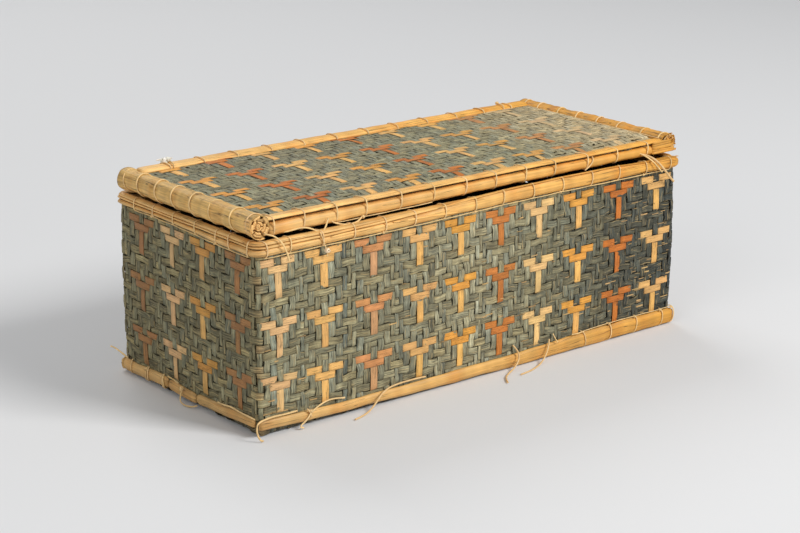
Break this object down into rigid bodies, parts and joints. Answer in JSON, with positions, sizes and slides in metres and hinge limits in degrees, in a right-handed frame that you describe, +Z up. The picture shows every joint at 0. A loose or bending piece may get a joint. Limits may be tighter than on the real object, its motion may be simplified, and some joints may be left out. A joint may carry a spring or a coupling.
{
  "type": "lidded work basket",
  "caption": "Rectangular lidded work basket of twill-plaited reed with cane-bound edges; the lid is tied on along the back and opens flat.",
  "frame": {"origin": "on the floor under the middle of the basket's footprint", "axes": "+X along the long side to the right, +Y to the back where the lid is tied on, +Z up"},
  "size_m": [0.36, 0.1801, 0.1391],
  "materials": {
    "reed_mat": "dyed split reed, satin",
    "cane": "split cane, bark side out",
    "reed_core": "raw reed",
    "thread": "flat plant fibre thread",
    "cord": "two-ply plant fibre cord"
  },
  "bodies": {
    "box": {"base_cane_back": "cane", "base_cane_front": "cane", "base_cane_left_back": "cane", "base_cane_left_front": "cane", "base_cane_left_middle": "cane", "base_cane_right": "cane", "base_lashing_back": "thread", "base_lashing_front": "thread", "base_lashing_left": "thread", "base_lashing_right": "thread", "base_mat": "reed_mat", "loose_thread_middle": "thread", "loose_thread_near": "thread", "loose_thread_right": "thread", "rim_inner_reed_back": "cane", "rim_inner_reed_front": "cane", "rim_inner_reed_left": "cane", "rim_inner_reed_right": "cane", "rim_lashing_back": "thread", "rim_lashing_front": "thread", "rim_lashing_left": "thread", "rim_lashing_right": "thread", "rim_outer_reed": "cane", "rim_outer_reed_right": "cane", "rim_top_reed": "cane", "rim_top_reed_right": "cane", "wall_mat": "reed_mat"},
    "lid": {"closing_tie_cord": "cord", "hinge_tie_left": "thread", "hinge_tie_right": "thread", "lid_back_edge_reed": "cane", "lid_back_top_strip": "cane", "lid_front_edge_reed": "cane", "lid_front_top_strip": "cane", "lid_lashing_back": "thread", "lid_lashing_front": "thread", "lid_lashing_left": "thread", "lid_lashing_right": "thread", "lid_left_core_reeds": "reed_core", "lid_left_sleeve": "cane", "lid_mat": "reed_mat", "lid_right_core_reeds": "reed_core", "lid_right_sleeve": "cane"}
  },
  "joints": [
    {"name": "lid_hinge", "type": "hinge", "parent": "box", "child": "lid", "pos_m": [0, 0.08065, 0.12315], "axis": [-1, 0, 0], "range_deg": [0, 180], "deforming": ["hinge_tie_left", "hinge_tie_right"]}
  ]
}
